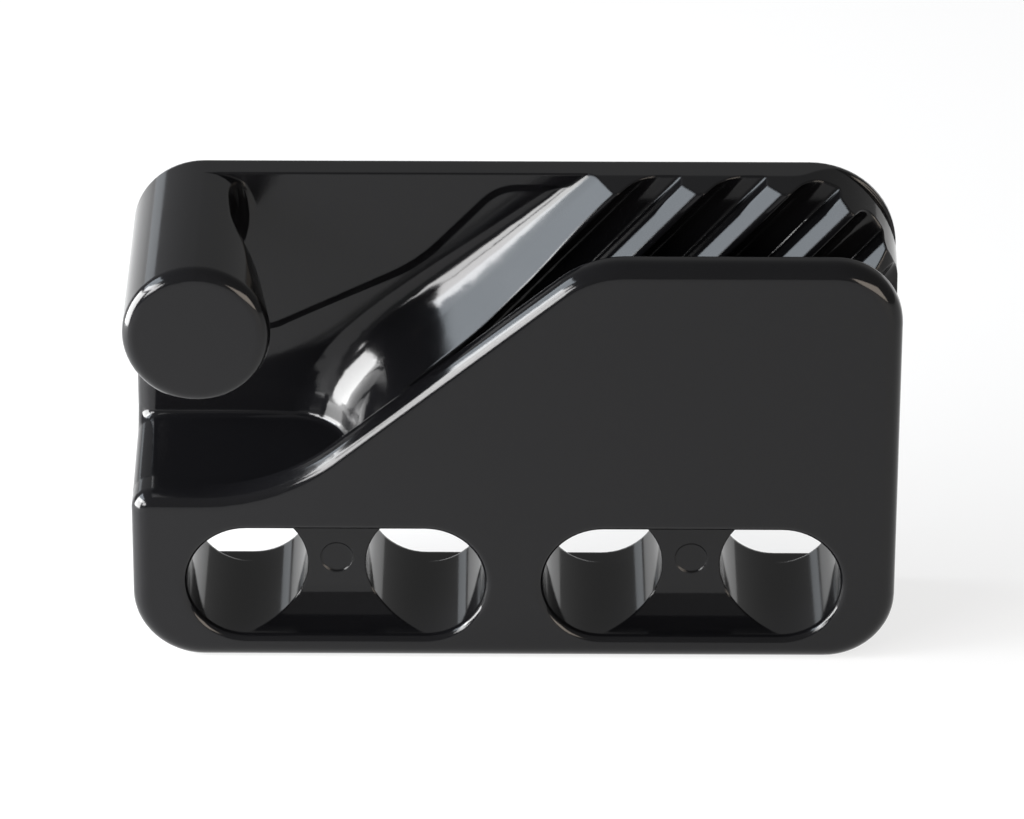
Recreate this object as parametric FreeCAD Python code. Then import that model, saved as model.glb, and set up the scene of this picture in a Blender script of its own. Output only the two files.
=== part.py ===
import FreeCAD, Part
import math
import os

V = FreeCAD.Vector

# Side-entry jam cleat, moulded in one piece. All sizes are in millimetres.
# It stands on its long bottom edge: +X runs along the rope towards the tail,
# +Y goes from the open front to the mounting face at the back, +Z is up.
# "Depth" below means the distance behind the front face, and "drop" the distance
# below the top.

# Whole body
length = 90.0
height = 55.5
body_depth = 21.0
plate_thickness = 3.4
bottom_corner_radius = 8.3
tail_corner_radius = 10.4
front_edge_radius = 2.0

# Front wall of the rope channel
wall_drop = 3.5
wall_thickness = 3.6
wall_corner_radius = 8.0
wall_slant_angle = 39.5
wall_slant_foot = -28.0
wall_shoulder_radius = 12.0
wall_toe_radius = 24.0
wall_inner_edge_radius = 0.9

# Floor under the loaded end of the rope. Its rounded end is cut a touch larger
# than it should be, so that the cut never just grazes a face.
floor_front = 21.9
floor_rise = 1.3
floor_end_radius = 2.4
end_ease = 0.02
floor_level_depth = 5.0
floor_root_radius = 0.9

# Rope channel and its toothed jaw
channel_drop = 24.5
channel_width = 2.9
channel_bottom_radius = 1.2
jaw_slope = 0.2
jaw_crest_depth = 13.9
jaw_valley_depth = 17.2
tooth_pitch = 10.0
tooth_angle = 45.0
tooth_rake = 2.6
tooth_step = 0.4
tooth_face_share = 0.5
tooth_root_radius = 0.5
tooth_shoulder_radius = 0.6
tooth_back_radius = 4.0
tooth_back_run = 1.8
tooth_land = 0.8
tooth_trim = 0.1
jaw_top_slope = 0.22
jaw_corner_radius = 12.7
first_valley = 9.5
jaw_exit_radius = 4.0

# Cheek that thickens the front wall downwards and closes the channel to a V,
# with slanted grooves that deepen downwards, at the pitch of the teeth
cheek_drop = 8.5
groove_depth = 1.4
groove_flank = 1.5
ridge_land = 2.0

# Concave ramp that lifts the rope from the floor to the first tooth. Its heights
# are shares of the way from the floor to the top, and its lean is how far the
# upper face moves towards the tail for each millimetre forwards.
ramp_lean = 0.97
# Each low station: height, start of the curve on the plate, curve radius,
# and how far the face leans towards the tail for each millimetre forwards.
ramp_low_stations = ((-0.06, -27.2, 8.0, -0.05), (0.21, -24.5, 7.6, 0.35))
# The face then runs on as the face of the first tooth.
# Each high station: height, and curve radius.
ramp_high_stations = ((0.48, 10.5), (0.75, 7.5), (1.03, 4.5))

# Shallow recess in the plate beside the ramp, bounded by a rising edge.
# Each corner of the edge: x, height as a share, radius.
leaf_depth = 0.35
leaf_edge_radius = 1.2
leaf_corners = ((-2.3, 0.964, 6.0), (-11.8, 0.667, 19.0), (-29.0, 0.417, 6.0))

# Guard post at the loaded end
post_radius = 8.5
post_reach = 8.7
post_end_radius = 1.5
# The post is trimmed by a slightly larger circle that moves off its axis. Each
# station: distance in front of the plate, and the shift to the upper outer side.
throat_stations = (
    (-2.4, 2.0), (0.0, 2.4), (0.7, 3.8), (2.2, 4.7), (6.6, 4.8), (11.4, 3.8),
    (15.1, 1.9), (18.8, 1.0), (22.0, 0.4), (25.0, 0.0), (28.0, -0.2),
)
throat_ease = 0.05

# Lashing holes and their pockets
hole_radius = 7.1
hole_height = 10.2
hole_margin = 13.5
hole_count = 4
hole_rim_radius = 0.9
front_pocket_depth = 5.2
heel_radius = 4.2
back_pocket_depth = 2.4
back_pocket_run = 5.5
pin_mark_radius = 1.9
pin_mark_depth = 0.15
pin_mark_height = 11.0

# Worked out from the sizes above
half = length / 2
total_depth = body_depth + post_reach
front_y = post_reach - total_depth / 2
plate_depth = body_depth - plate_thickness
leaf_back = plate_depth + leaf_depth
post_x = -half + post_radius
post_z = height - post_radius
wall_top = height - wall_drop
wall_slant_run = (wall_top - floor_front) / math.tan(math.radians(wall_slant_angle))
wall_slant_top = wall_slant_foot + wall_slant_run
channel_bottom = height - channel_drop
channel_front = jaw_crest_depth - jaw_slope * channel_drop - channel_width
cheek_top = height - cheek_drop
hole_pitch = (length - 2 * hole_margin) / (hole_count - 1)
clear = 3.0
near = 1e-3
touching = 1e-6
tooth_run = math.tan(math.radians(tooth_angle))
tooth_face_depth = tooth_face_share * (jaw_valley_depth - jaw_crest_depth)


def y_at(depth):
    return front_y + depth


def crest_depth(z):
    """Depth of the line of tooth crests at a height."""
    return jaw_crest_depth - jaw_slope * (height - z)


def share_height(share):
    """Height at a share of the way from the floor to the top."""
    return floor_front + share * (height - floor_front)


def floor_at(depth):
    """Height of the rising floor at a depth."""
    return floor_front + floor_rise * (depth - floor_level_depth) / (plate_depth - floor_level_depth)


def rounded(corners, place):
    """Closed wire through (a, b, radius) corners, with place(a, b) giving the point."""
    count = len(corners)
    ends = []
    for i in range(count):
        a, b, radius = corners[i]
        before, after = corners[i - 1], corners[(i + 1) % count]
        u = V(before[0] - a, before[1] - b, 0)
        w = V(after[0] - a, after[1] - b, 0)
        u.normalize()
        w.normalize()
        corner = V(a, b, 0)
        if radius == 0:
            ends.append((corner, None, corner))
            continue
        angle = u.getAngle(w)
        run = radius / math.tan(angle / 2)
        bisector = (u + w).normalize()
        centre = corner + bisector * (radius / math.sin(angle / 2))
        ends.append((corner + u * run, centre - bisector * radius, corner + w * run))
    edges = []
    for i in range(count):
        start, middle, stop = (p and place(p.x, p.y) for p in ends[i])
        if middle:
            edges.append(Part.Arc(start, middle, stop).toShape())
        following = ends[(i + 1) % count][0]
        target = place(following.x, following.y)
        if stop.distanceToPoint(target) > touching:
            edges.append(Part.LineSegment(stop, target).toShape())
    return Part.Wire(edges)


def prism(wire, direction):
    """Solid swept straight from a closed outline."""
    return Part.makeSolid(Part.Face(wire).extrude(direction).Shells[0])


def loft(wires):
    """Smooth solid through closed outlines."""
    return Part.makeSolid(Part.makeLoft(wires, True, False).Shells[0])


def lies_at(edge, depth):
    """True for an edge that lies flat at a depth."""
    box = edge.BoundBox
    return abs(box.YMin - y_at(depth)) < near and abs(box.YMax - y_at(depth)) < near


def edges_at(shape, depth):
    return [e for e in shape.Edges if lies_at(e, depth)]


def in_elevation(depth):
    """Place points of a front elevation (x, z) at a depth."""
    return lambda a, b: V(a, y_at(depth), b)


def in_section(x):
    """Place points of a cross section (depth, z) at an x."""
    return lambda a, b: V(x, y_at(a), b)


def in_plan(z):
    """Place points of a plan (x, depth) at a height."""
    return lambda a, b: V(a, y_at(b), z)


def wall_grooves():
    """Slanted grooves in the cheek, in step with the gaps of the jaw."""
    drop = cheek_top - channel_bottom
    fall = V(-drop * tooth_run, channel_front - wall_thickness - groove_depth, -drop)
    first = first_valley - (height - cheek_top) * tooth_run
    count = math.ceil((half + drop * tooth_run - first) / tooth_pitch)
    front = wall_thickness
    back = wall_thickness + groove_depth + groove_flank
    grooves = []
    for i in range(1, count + 1):
        left = first + i * tooth_pitch
        right = left + tooth_pitch - ridge_land
        plan = [
            (left - groove_flank, back, 0),
            (left, front, 0),
            (right - groove_flank, front, 0),
            (right, back, 0),
        ]
        grooves.append(prism(rounded(plan, in_plan(cheek_top)), fall))
    return grooves


def front_block(depth):
    """Outline of the lower body and the front wall, taken back to a depth."""
    outline = [
        (-half, 0, bottom_corner_radius),
        (half, 0, bottom_corner_radius),
        (half, wall_top, wall_corner_radius),
        (wall_slant_top, wall_top, wall_shoulder_radius),
        (wall_slant_foot, floor_front, wall_toe_radius),
        (-half, floor_front, floor_end_radius),
    ]
    block = prism(rounded(outline, in_elevation(0)), V(0, depth, 0))
    return block.makeFillet(front_edge_radius, edges_at(block, 0))


def front_wall():
    """Front of the body with the inner edge of the wall rounded too."""
    wall = front_block(wall_thickness)
    return wall.makeFillet(wall_inner_edge_radius, edges_at(wall, wall_thickness))


def wall_place():
    """Room for the front wall above the floor and above the channel bottom."""
    step = channel_bottom + channel_bottom_radius
    roof = height + clear
    outline = [
        (-half - clear, floor_front, 0),
        (wall_slant_top, floor_front, 0),
        (wall_slant_top, step, 0),
        (half + clear, step, 0),
        (half + clear, roof, 0),
        (-half - clear, roof, 0),
    ]
    return prism(rounded(outline, in_elevation(-clear)), V(0, clear + wall_thickness, 0))


def upper_block():
    """Plate and toothed jaw, before the channel and the ramp are cut."""
    base = floor_front - clear
    outline = [
        (-half, base, 0),
        (half, base, 0),
        (half, height, tail_corner_radius),
        (-half, height, post_radius),
    ]
    wire = rounded(outline, in_elevation(floor_level_depth))
    return prism(wire, V(0, body_depth - floor_level_depth, 0))


def ramp_section(z, start, radius, lean):
    """Plan of the cleared space at a height: plate, concave curve, then forwards past the wall."""
    far = -half - clear
    front = -clear
    face = V(lean, -1, 0).normalize()
    angle = V(-1, 0, 0).getAngle(face)
    corner = start + radius / math.tan(angle / 2)
    run = (leaf_back - front) / -face.y
    outline = [
        (far, leaf_back, 0),
        (corner, leaf_back, radius),
        (corner + face.x * run, front, 0),
        (far, front, 0),
    ]
    return rounded(outline, in_plan(z))


def high_section(share, radius):
    """Plan of the space where the ramp lies in the plane of the first tooth's face."""
    z = share_height(share)
    drop = height - z
    valley = jaw_valley_depth - drop * jaw_slope
    corner = first_valley - drop * tooth_run - (leaf_back - valley) * ramp_lean
    angle = V(-1, 0, 0).getAngle(V(ramp_lean, -1, 0))
    return ramp_section(z, corner - radius / math.tan(angle / 2), radius, ramp_lean)


def open_section(back):
    """Space above the rising floor, from the front wall to a depth."""
    far = half + clear
    roof = height + clear
    floor = [
        (wall_thickness, floor_front, 0),
        (floor_level_depth, floor_front, 0),
        (back, floor_at(back), 0),
        (back, roof, 0),
        (wall_thickness, roof, 0),
    ]
    return prism(rounded(floor, in_section(-far)), V(2 * far, 0, 0))


def leaf_space():
    """Space in front of the leaf-shaped recess in the plate, with a soft back edge."""
    side = -half - clear
    base = floor_front - clear
    edge = [(x, share_height(share), radius) for x, share, radius in leaf_corners]
    outline = [(side, base, 0), (half, base, 0), (half, edge[0][1], 0)]
    outline += edge + [(side, edge[-1][1], 0)]
    wire = rounded(outline, in_elevation(floor_level_depth))
    leaf = prism(wire, V(0, leaf_back - floor_level_depth, 0))
    return leaf.makeFillet(leaf_edge_radius, edges_at(leaf, leaf_back))


def ramp_space():
    """Open space above the floor and behind the front wall, ending in the ramp."""
    low = [ramp_section(share_height(share), *shape) for share, *shape in ramp_low_stations]
    space = loft(low + [high_section(*s) for s in ramp_high_stations])
    shallow = space.common(open_section(plate_depth))
    return [shallow, space.common(leaf_space()).common(open_section(leaf_back + clear))]


def floor_end():
    """Rounds the loaded end of the floor and of the plate above it."""
    edge = floor_front - floor_end_radius
    top = floor_front + floor_root_radius / 2
    side = -half - end_ease
    crown = floor_front + end_ease
    corner = [
        (-half - clear, edge, 0),
        (side, edge, 0),
        (side, crown, floor_end_radius + end_ease),
        (-half + floor_end_radius, crown, 0),
        (-half + floor_end_radius, top, 0),
        (-half - clear, top, 0),
    ]
    path = [
        (floor_level_depth, floor_front, 0),
        (leaf_back, floor_at(leaf_back), floor_root_radius),
        (leaf_back, post_z, 0),
    ]
    way = rounded(path, in_section(-half)).Edges[:3]
    profile = rounded(corner, in_elevation(floor_level_depth))
    return Part.Wire(way).makePipeShell([profile], True, True)


def jaw_top():
    """Slope of the jaw's top, down towards the tooth crests and round the tail corner."""
    far = half + clear
    roof = height + clear
    end = half + tooth_trim
    run = jaw_valley_depth + clear - wall_thickness
    top = height - jaw_top_slope * (jaw_valley_depth - wall_thickness)
    outline = [
        (-far, top, 0),
        (end, top, jaw_corner_radius),
        (end, channel_bottom, 0),
        (far, channel_bottom, 0),
        (far, roof, 0),
        (-far, roof, 0),
    ]
    return prism(rounded(outline, in_elevation(wall_thickness)), V(0, run, jaw_top_slope * run))


def channel_space():
    """V-shaped channel between the cheek of the front wall and the tooth crests."""
    roof = height + clear
    section = [
        (wall_thickness, cheek_top, 0),
        (channel_front, channel_bottom, channel_bottom_radius),
        (crest_depth(channel_bottom) + tooth_trim, channel_bottom, channel_bottom_radius),
        (crest_depth(roof) + tooth_trim, roof, 0),
        (wall_thickness, roof, 0),
    ]
    start = first_valley - (height - channel_bottom) * tooth_run - tooth_pitch
    return prism(rounded(section, in_section(start)), V(half + clear - start, 0, 0))


def tooth_gaps():
    """Slanted gaps between the teeth, each from a crest to the next tooth's step and face."""
    top = height + clear
    drop = top - channel_bottom
    rise = top - height
    fall = V(-drop * tooth_run, -drop * jaw_slope, -drop)
    crest = jaw_crest_depth + jaw_slope * rise
    valley = jaw_valley_depth + jaw_slope * rise
    first = first_valley + rise * tooth_run
    count = math.ceil((half + drop * tooth_run - first) / tooth_pitch)
    gaps = []
    for i in range(count):
        left = first + i * tooth_pitch + tooth_rake + tooth_land
        root = first + (i + 1) * tooth_pitch
        plan = [
            (left, crest, 0),
            (left + tooth_back_run, valley, tooth_back_radius),
            (root, valley, tooth_root_radius),
            (root + tooth_step, crest + tooth_face_depth, tooth_shoulder_radius),
            (root + tooth_rake, crest, 0),
            (root + tooth_rake, crest - clear, 0),
            (left, crest - clear, 0),
        ]
        gaps.append(prism(rounded(plan, in_plan(top)), fall))
    return gaps


def jaw_exit():
    """Rounds the end of the jaw where the tail of the rope leaves."""
    top = height + clear
    drop = top - channel_bottom
    crest = crest_depth(top)
    plan = [
        (half - 2 * jaw_exit_radius, crest, 0),
        (half + tooth_trim, crest, jaw_exit_radius),
        (half + tooth_trim, body_depth, 0),
        (half + clear, body_depth, 0),
        (half + clear, crest - clear, 0),
        (half - 2 * jaw_exit_radius, crest - clear, 0),
    ]
    return prism(rounded(plan, in_plan(top)), V(0, -drop * jaw_slope, -drop))


def throat_section(reach, pull):
    """Circle that trims the post at a distance in front of the plate."""
    centre = V(post_x - pull, y_at(plate_depth - reach), post_z + pull)
    return Part.Wire(Part.Circle(centre, V(0, 1, 0), post_radius + throat_ease).toShape())


def guard_post():
    """Post that keeps the rope in: a cylinder with a rounded end and a necked throat."""
    root, pull = throat_stations[0]
    end = V(post_x, y_at(-post_reach), post_z)
    post = Part.makeCylinder(post_radius, plate_depth + post_reach - root, end, V(0, 1, 0))
    post = post.makeFillet(post_end_radius, edges_at(post, -post_reach))
    return post.common(loft([throat_section(*s) for s in throat_stations]))


def hole_centres():
    return [-half + hole_margin + i * hole_pitch for i in range(hole_count)]


def lashing_holes():
    tools = []
    for x in hole_centres():
        start = V(x, y_at(-clear), hole_height)
        tools.append(Part.makeCylinder(hole_radius, body_depth + 2 * clear, start, V(0, 1, 0)))
    return tools


def stadium(left, right, radius, depth):
    """Long round-ended outline around the hole centres, in elevation."""
    low, high = hole_height - radius, hole_height + radius
    place = in_elevation(depth)
    return Part.Wire([
        Part.LineSegment(place(left, low), place(right, low)).toShape(),
        Part.Arc(place(right, low), place(right + radius, hole_height), place(right, high)).toShape(),
        Part.LineSegment(place(right, high), place(left, high)).toShape(),
        Part.Arc(place(left, high), place(left - radius, hole_height), place(left, low)).toShape(),
    ])


def front_pockets():
    """Pocket between each pair of holes, its back wall curving forwards at the bottom."""
    xs = hole_centres()
    low, high = hole_height - hole_radius, hole_height + hole_radius
    profile = [
        (-clear, low, 0),
        (front_pocket_depth, low, heel_radius),
        (front_pocket_depth, high, 0),
        (-clear, high, 0),
    ]
    tools = []
    for left, right in ((xs[0], xs[1]), (xs[2], xs[3])):
        slot = prism(stadium(left, right, hole_radius, -clear), V(0, front_pocket_depth + clear, 0))
        start = left - hole_radius
        swept = prism(rounded(profile, in_section(start)), V(right + hole_radius - start, 0, 0))
        tools.append(slot.common(swept))
    return tools


def pin_marks():
    """Round ejector marks on the back walls of the front pockets."""
    marks = []
    for x in (-hole_pitch, hole_pitch):
        centre = V(x, y_at(0), pin_mark_height)
        reach = front_pocket_depth + pin_mark_depth
        marks.append(Part.makeCylinder(pin_mark_radius, reach, centre, V(0, 1, 0)))
    return marks


def back_pockets():
    """Shallow pockets in the mounting face for the lashing."""
    xs = hole_centres()
    spans = ((xs[0] - back_pocket_run, xs[0]), (xs[1], xs[2]), (xs[3], xs[3] + back_pocket_run))
    start = body_depth - back_pocket_depth
    return [
        prism(stadium(left, right, hole_radius, start), V(0, back_pocket_depth + clear, 0))
        for left, right in spans
    ]


def floor_root_edges(body):
    """Edges where the floor meets the plate and the foot of the ramp."""
    low, high = floor_front - near, floor_at(leaf_back) + near
    found = []
    for e in body.Edges:
        box = e.BoundBox
        level = box.ZMin > low and box.ZMax < high
        inner = box.XMin > -half + floor_end_radius + near or lies_at(e, leaf_back)
        behind = box.YMax > y_at(wall_thickness) + near
        if level and inner and behind and not lies_at(e, floor_level_depth):
            found.append(e)
    return found


def pocket_rims(body):
    """Edges around the front pockets on the front face."""
    reach = hole_radius + near
    side = hole_centres()[-1] + reach
    found = []
    for e in edges_at(body, 0):
        box = e.BoundBox
        level = box.ZMin > hole_height - reach and box.ZMax < hole_height + reach
        if level and box.XMin > -side and box.XMax < side:
            found.append(e)
    return found


def merged(shape):
    """The solid with its split faces joined up again."""
    return shape.Solids[0].removeSplitter()


def cleat_body():
    body = merged(front_block(body_depth).fuse(upper_block()))
    body = merged(body.cut(ramp_space()))
    body = merged(body.cut([channel_space(), jaw_top()] + tooth_gaps()))
    body = merged(body.cut(jaw_exit()))
    body = body.makeFillet(floor_root_radius, floor_root_edges(body))
    body = merged(body.cut(floor_end()))
    body = merged(body.cut(wall_place()).fuse(front_wall()))
    body = merged(body.cut(wall_grooves()))
    body = merged(body.cut(lashing_holes() + front_pockets() + pin_marks() + back_pockets()))
    body = body.makeFillet(hole_rim_radius, pocket_rims(body))
    return merged(body.fuse(guard_post()))


def main():
    os.makedirs("parts", exist_ok=True)
    body = cleat_body()
    solids = body.Solids
    print("solids", len(solids), "valid", body.isValid(), "volume", round(body.Volume, 1))
    body.exportStep("parts/cleat_body.step")


main()
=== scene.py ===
import math

import bpy
from mathutils import Matrix, Vector


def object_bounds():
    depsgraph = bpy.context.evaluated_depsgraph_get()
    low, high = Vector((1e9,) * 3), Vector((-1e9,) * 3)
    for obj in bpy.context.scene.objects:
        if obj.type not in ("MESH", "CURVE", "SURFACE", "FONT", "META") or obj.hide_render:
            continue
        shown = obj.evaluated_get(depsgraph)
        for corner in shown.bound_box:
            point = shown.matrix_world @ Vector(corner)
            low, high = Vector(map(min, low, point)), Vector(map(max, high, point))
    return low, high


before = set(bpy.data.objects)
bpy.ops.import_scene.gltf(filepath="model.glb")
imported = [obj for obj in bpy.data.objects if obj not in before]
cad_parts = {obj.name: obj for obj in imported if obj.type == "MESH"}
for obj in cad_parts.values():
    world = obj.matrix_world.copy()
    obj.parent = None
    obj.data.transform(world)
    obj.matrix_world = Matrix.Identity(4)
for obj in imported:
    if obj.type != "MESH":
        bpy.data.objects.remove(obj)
cad_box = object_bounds()

bl_info = {
    "name": "Jam Cleat",
    "version": (1, 0, 0),
    "blender": (4, 5, 0),
    "location": "3D View > Sidebar > Cleat",
    "description": "A side-entry jam cleat moulded in glossy black plastic, with its studio stage",
    "category": "Object",
}

# The photograph's frame: its width and its shift off the lens axis, sideways and up, both
# in pixels. Then the width of the camera's sensor in millimetres, and the point that the
# camera looks at.
frame_width = 1024
frame_shift = (-2.5, 1.2)
sensor_width = 36.0
look_at = Vector((0.0, 0.0046, 0.02775))

# The values of the noise at which the polish begins to dull and is dullest, and how many
# times rougher it is there.
dull_start = 0.35
dull_end = 0.75
dull_gain = 1.9

white = (1.0, 1.0, 1.0)
cool_white = (0.84, 0.92, 1.0)
pale_blue = (0.88, 0.94, 1.0)
warm_white = (1.0, 0.88, 0.76)

# Each softbox: its turn from the cleat's left end towards the front and its rise above the
# floor, in degrees, its distance, width and height in metres, its brightness and its colour.
softboxes = {
    # Reflects in the foot of the ramp and the left side of the guard post.
    "key_softbox": (7, 8, 0.2, 0.14, 0.11, 31.0, white),
    # Reflects in the faces of the teeth.
    "blue_softbox": (3, 36, 0.6, 0.46, 0.22, 9.2, cool_white),
    # Reflects in the left edge of the ramp and the sloping edge of the front wall.
    "front_softbox": (22, 29, 0.7, 0.5, 0.13, 26.0, white),
    # Widens those two reflections towards the front.
    "front_strip": (49, 17, 0.7, 0.22, 0.16, 24.0, white),
    # Reflects in the right corner of the front wall and the rims of the pockets.
    "warm_lamp": (128, 12, 0.7, 0.45, 0.25, 7.0, warm_white),
    # Reflects in the walls of the lashing holes and the outer side of the guard post.
    "rear_softbox": (-62, 5, 0.8, 0.3, 0.12, 1.0, pale_blue),
}


class CleatPlastic(bpy.types.PropertyGroup):
    colour: bpy.props.FloatVectorProperty(
        name="Colour",
        description="Colour of the moulded plastic",
        default=(0.0026, 0.0026, 0.003),
        subtype="COLOR",
        min=0.0,
        max=1.0,
    )
    polish: bpy.props.FloatProperty(
        name="Polish roughness",
        description="Roughness of the polished faces",
        default=0.07,
        min=0.0,
        max=1.0,
    )
    gloss: bpy.props.FloatProperty(
        name="Gloss",
        description="Strength of the mirror reflection, 0.5 is plain plastic",
        default=0.28,
        min=0.0,
        max=1.0,
    )
    soft_edge: bpy.props.FloatProperty(
        name="Edge softness",
        description="Radius that the mould leaves on every crisp edge",
        default=0.00045,
        unit="LENGTH",
        min=0.0,
    )
    dull_scale: bpy.props.FloatProperty(
        name="Dull patch scale",
        description="How closely the dull patches in the polish follow each other",
        default=90.0,
        min=0.0,
    )
    ripple: bpy.props.FloatProperty(
        name="Ripple",
        description="Height of the shallow sink and flow ripples in the faces",
        default=0.00002,
        unit="LENGTH",
        min=0.0,
    )
    ripple_scale: bpy.props.FloatProperty(
        name="Ripple scale",
        description="How closely the ripples follow each other",
        default=28.0,
        min=0.0,
    )
    grain: bpy.props.FloatProperty(
        name="Grain",
        description="Height of the fine grain in the surface",
        default=0.0000015,
        unit="LENGTH",
        min=0.0,
    )
    grain_scale: bpy.props.FloatProperty(
        name="Grain scale",
        description="How closely the specks of the grain follow each other",
        default=2600.0,
        min=0.0,
    )


class CleatStage(bpy.types.PropertyGroup):
    floor_colour: bpy.props.FloatVectorProperty(
        name="Floor colour",
        description="Colour of the plain floor",
        default=(0.8, 0.8, 0.8),
        subtype="COLOR",
        min=0.0,
        max=1.0,
    )
    floor_roughness: bpy.props.FloatProperty(
        name="Floor roughness",
        description="Roughness of the paper on the floor",
        default=0.4,
        min=0.0,
        max=1.0,
    )
    floor_white: bpy.props.FloatProperty(
        name="Floor white",
        description="Share of plain white that the camera and the reflections see in the floor",
        default=0.75,
        min=0.0,
        max=1.0,
    )
    floor_size: bpy.props.FloatProperty(
        name="Floor size",
        description="Length of each side of the floor",
        default=6.0,
        unit="LENGTH",
        min=0.1,
    )
    room_colour: bpy.props.FloatVectorProperty(
        name="Room colour",
        description="Colour of the soft light from all around",
        default=(0.3, 0.3, 0.3),
        subtype="COLOR",
        min=0.0,
        max=1.0,
    )
    elevation: bpy.props.FloatProperty(
        name="Camera elevation",
        description="Angle of the camera above the horizon",
        default=math.radians(27.5),
        subtype="ANGLE",
    )
    roll: bpy.props.FloatProperty(
        name="Camera roll",
        description="Turn of the camera about its line of sight",
        default=math.radians(0.2),
        subtype="ANGLE",
    )
    distance: bpy.props.FloatProperty(
        name="Camera distance",
        description="Distance from the camera to the middle of the cleat",
        default=0.8,
        unit="LENGTH",
        min=0.1,
    )
    focal: bpy.props.FloatProperty(
        name="Lens",
        description="Focal length of the camera in millimetres",
        default=238.0,
        min=1.0,
    )


def node(tree, kind, **values):
    """Adds a shader node and sets its sockets and settings by name."""
    made = tree.nodes.new(kind)
    for key, value in values.items():
        words = key.replace("_", " ")
        if key in made.bl_rna.properties:
            setattr(made, key, value)
        else:
            socket = next(s for s in made.inputs if s.name.lower() == words and s.enabled)
            socket.default_value = value
    return made


def noise(tree, scale, detail, roughness):
    """Adds noise that is fixed to the piece, and returns its value."""
    place = node(tree, "ShaderNodeTexCoord")
    pattern = node(tree, "ShaderNodeTexNoise", scale=scale, detail=detail, roughness=roughness)
    tree.links.new(place.outputs["Object"], pattern.inputs["Vector"])
    return pattern.outputs["Fac"]


def relief(tree, pattern, height, normal):
    """Adds a bump of the pattern, over the normal given, and returns the new normal."""
    bump = node(tree, "ShaderNodeBump", strength=1.0, distance=height)
    tree.links.new(pattern, bump.inputs["Height"])
    tree.links.new(normal, bump.inputs["Normal"])
    return bump.outputs["Normal"]


def moulded_plastic(look):
    """Glossy injection-moulded plastic with soft edges, faint ripples and a fine grain."""
    material = bpy.data.materials.new("moulded_plastic")
    material.use_nodes = True
    tree = material.node_tree
    shader = tree.nodes["Principled BSDF"]
    shader.inputs["Base Color"].default_value = (*look.colour, 1.0)
    shader.inputs["Specular IOR Level"].default_value = look.gloss
    shader.inputs["IOR"].default_value = 1.5

    polish = node(
        tree, "ShaderNodeMapRange", from_min=dull_start, from_max=dull_end,
        to_min=look.polish, to_max=look.polish * dull_gain,
    )
    patches = noise(tree, scale=look.dull_scale, detail=5.0, roughness=0.6)
    tree.links.new(patches, polish.inputs["Value"])
    tree.links.new(polish.outputs["Result"], shader.inputs["Roughness"])

    ripples = noise(tree, scale=look.ripple_scale, detail=1.0, roughness=0.3)
    specks = noise(tree, scale=look.grain_scale, detail=2.0, roughness=0.5)
    edges = node(tree, "ShaderNodeBevel", samples=8, radius=look.soft_edge)
    rippled = relief(tree, ripples, look.ripple, edges.outputs["Normal"])
    grained = relief(tree, specks, look.grain, rippled)
    tree.links.new(grained, shader.inputs["Normal"])
    return material


def floor_paper(stage):
    """Satin white paper that carries the shadow and reads as white behind the cleat."""
    material = bpy.data.materials.new("floor_paper")
    material.use_nodes = True
    tree = material.node_tree
    paper = tree.nodes["Principled BSDF"]
    paper.inputs["Base Color"].default_value = (*stage.floor_colour, 1.0)
    paper.inputs["Roughness"].default_value = stage.floor_roughness
    plain = node(tree, "ShaderNodeEmission", strength=1.0)

    seen = node(tree, "ShaderNodeLightPath").outputs
    either = node(tree, "ShaderNodeMath", operation="MAXIMUM")
    tree.links.new(seen["Is Camera Ray"], either.inputs[0])
    tree.links.new(seen["Is Glossy Ray"], either.inputs[1])
    every = node(tree, "ShaderNodeMath", operation="MAXIMUM")
    tree.links.new(either.outputs[0], every.inputs[0])
    tree.links.new(seen["Is Transmission Ray"], every.inputs[1])
    share = node(tree, "ShaderNodeMath", operation="MULTIPLY")
    tree.links.new(every.outputs[0], share.inputs[0])
    share.inputs[1].default_value = stage.floor_white

    mix = node(tree, "ShaderNodeMixShader")
    tree.links.new(share.outputs[0], mix.inputs["Fac"])
    tree.links.new(paper.outputs["BSDF"], mix.inputs[1])
    tree.links.new(plain.outputs["Emission"], mix.inputs[2])
    tree.links.new(mix.outputs["Shader"], tree.nodes["Material Output"].inputs["Surface"])
    return material


def softbox(name, turn, rise, distance, width, height, brightness, colour):
    """Adds a rectangular studio lamp that faces the cleat and that the camera doesn't see."""
    turn, rise = math.radians(turn), math.radians(rise)
    across, up = math.cos(rise), math.sin(rise)
    away = Vector((-across * math.cos(turn), -across * math.sin(turn), up))
    bpy.ops.object.light_add(type="AREA", location=look_at + distance * away)
    lamp = bpy.context.object
    lamp.name = name
    lamp.rotation_euler = (-away).to_track_quat("-Z", "Y").to_euler()
    lamp.data.shape = "RECTANGLE"
    lamp.data.size = width
    lamp.data.size_y = height
    lamp.data.energy = brightness * math.pi * width * height
    lamp.data.color = colour
    lamp.visible_camera = False


class CLEAT_OT_body(bpy.types.Operator):
    """Gives the moulded body its glossy plastic"""

    bl_idname = "cleat.body"
    bl_label = "Moulded body"

    def execute(self, context):
        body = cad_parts["cleat_body"]
        body.data.materials.clear()
        body.data.materials.append(moulded_plastic(context.scene.cleat_plastic))
        return {"FINISHED"}


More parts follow.
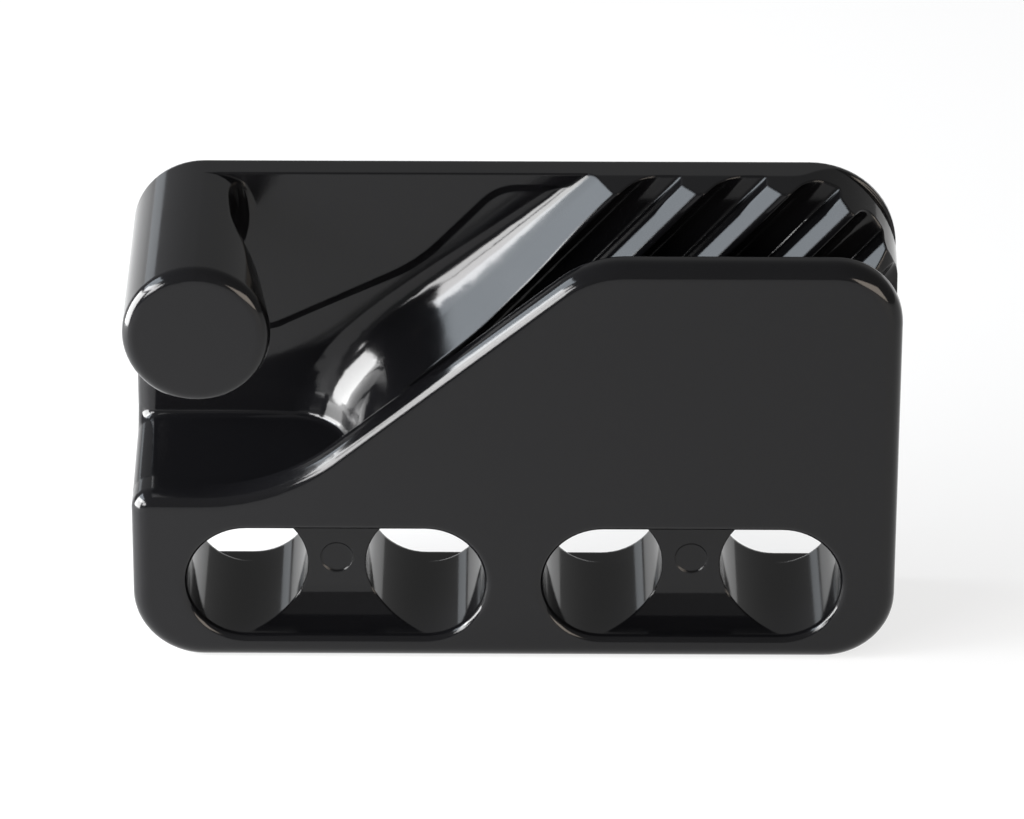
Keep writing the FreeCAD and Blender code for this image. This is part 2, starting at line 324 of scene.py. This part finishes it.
class CLEAT_OT_stage(bpy.types.Operator):
    """Sets up the floor, the softboxes, the room light and the camera"""

    bl_idname = "cleat.stage"
    bl_label = "Stage"

    def execute(self, context):
        stage = context.scene.cleat_stage
        bpy.ops.object.select_all(action="DESELECT")
        bpy.ops.mesh.primitive_plane_add(size=stage.floor_size, location=(0, 0, cad_box[0][2]))
        floor = context.object
        floor.name = "floor"
        floor.data.materials.append(floor_paper(stage))

        for name, settings in softboxes.items():
            softbox(name, *settings)

        room = bpy.data.worlds.new("studio")
        context.scene.world = room
        room.use_nodes = True
        light = room.node_tree.nodes["Background"]
        light.inputs["Color"].default_value = (*stage.room_colour, 1.0)

        angle = stage.elevation
        place = look_at + stage.distance * Vector((0, -math.cos(angle), math.sin(angle)))
        bpy.ops.object.camera_add(location=place)
        camera = context.object
        camera.name = "camera"
        aim = (look_at - place).to_track_quat("-Z", "Y").to_matrix().to_4x4()
        roll = Matrix.Rotation(stage.roll, 4, "Z")
        camera.matrix_world = Matrix.Translation(place) @ aim @ roll
        camera.data.sensor_width = sensor_width
        camera.data.lens = stage.focal
        camera.data.shift_x = frame_shift[0] / frame_width
        camera.data.shift_y = frame_shift[1] / frame_width
        context.scene.camera = camera
        context.scene.view_settings.view_transform = "Standard"
        return {"FINISHED"}


class CLEAT_PT_panel(bpy.types.Panel):
    """Lists the cleat's settings and the buttons that make it"""

    bl_label = "Jam cleat"
    bl_idname = "CLEAT_PT_panel"
    bl_space_type = "VIEW_3D"
    bl_region_type = "UI"
    bl_category = "Cleat"

    def draw(self, context):
        column = self.layout.column()
        for group in (context.scene.cleat_plastic, context.scene.cleat_stage):
            for key in group.__annotations__:
                column.prop(group, key)
        column.operator("cleat.body")
        column.operator("cleat.stage")


classes = (CleatPlastic, CleatStage, CLEAT_OT_body, CLEAT_OT_stage, CLEAT_PT_panel)


def register():
    for item in classes:
        bpy.utils.register_class(item)
    bpy.types.Scene.cleat_plastic = bpy.props.PointerProperty(type=CleatPlastic)
    bpy.types.Scene.cleat_stage = bpy.props.PointerProperty(type=CleatStage)


def unregister():
    del bpy.types.Scene.cleat_stage
    del bpy.types.Scene.cleat_plastic
    for item in reversed(classes):
        bpy.utils.unregister_class(item)


def main():
    register()
    bpy.ops.cleat.body()
    bpy.ops.cleat.stage()
    bpy.context.view_layer.update()


if __name__ == "__main__":
    main()
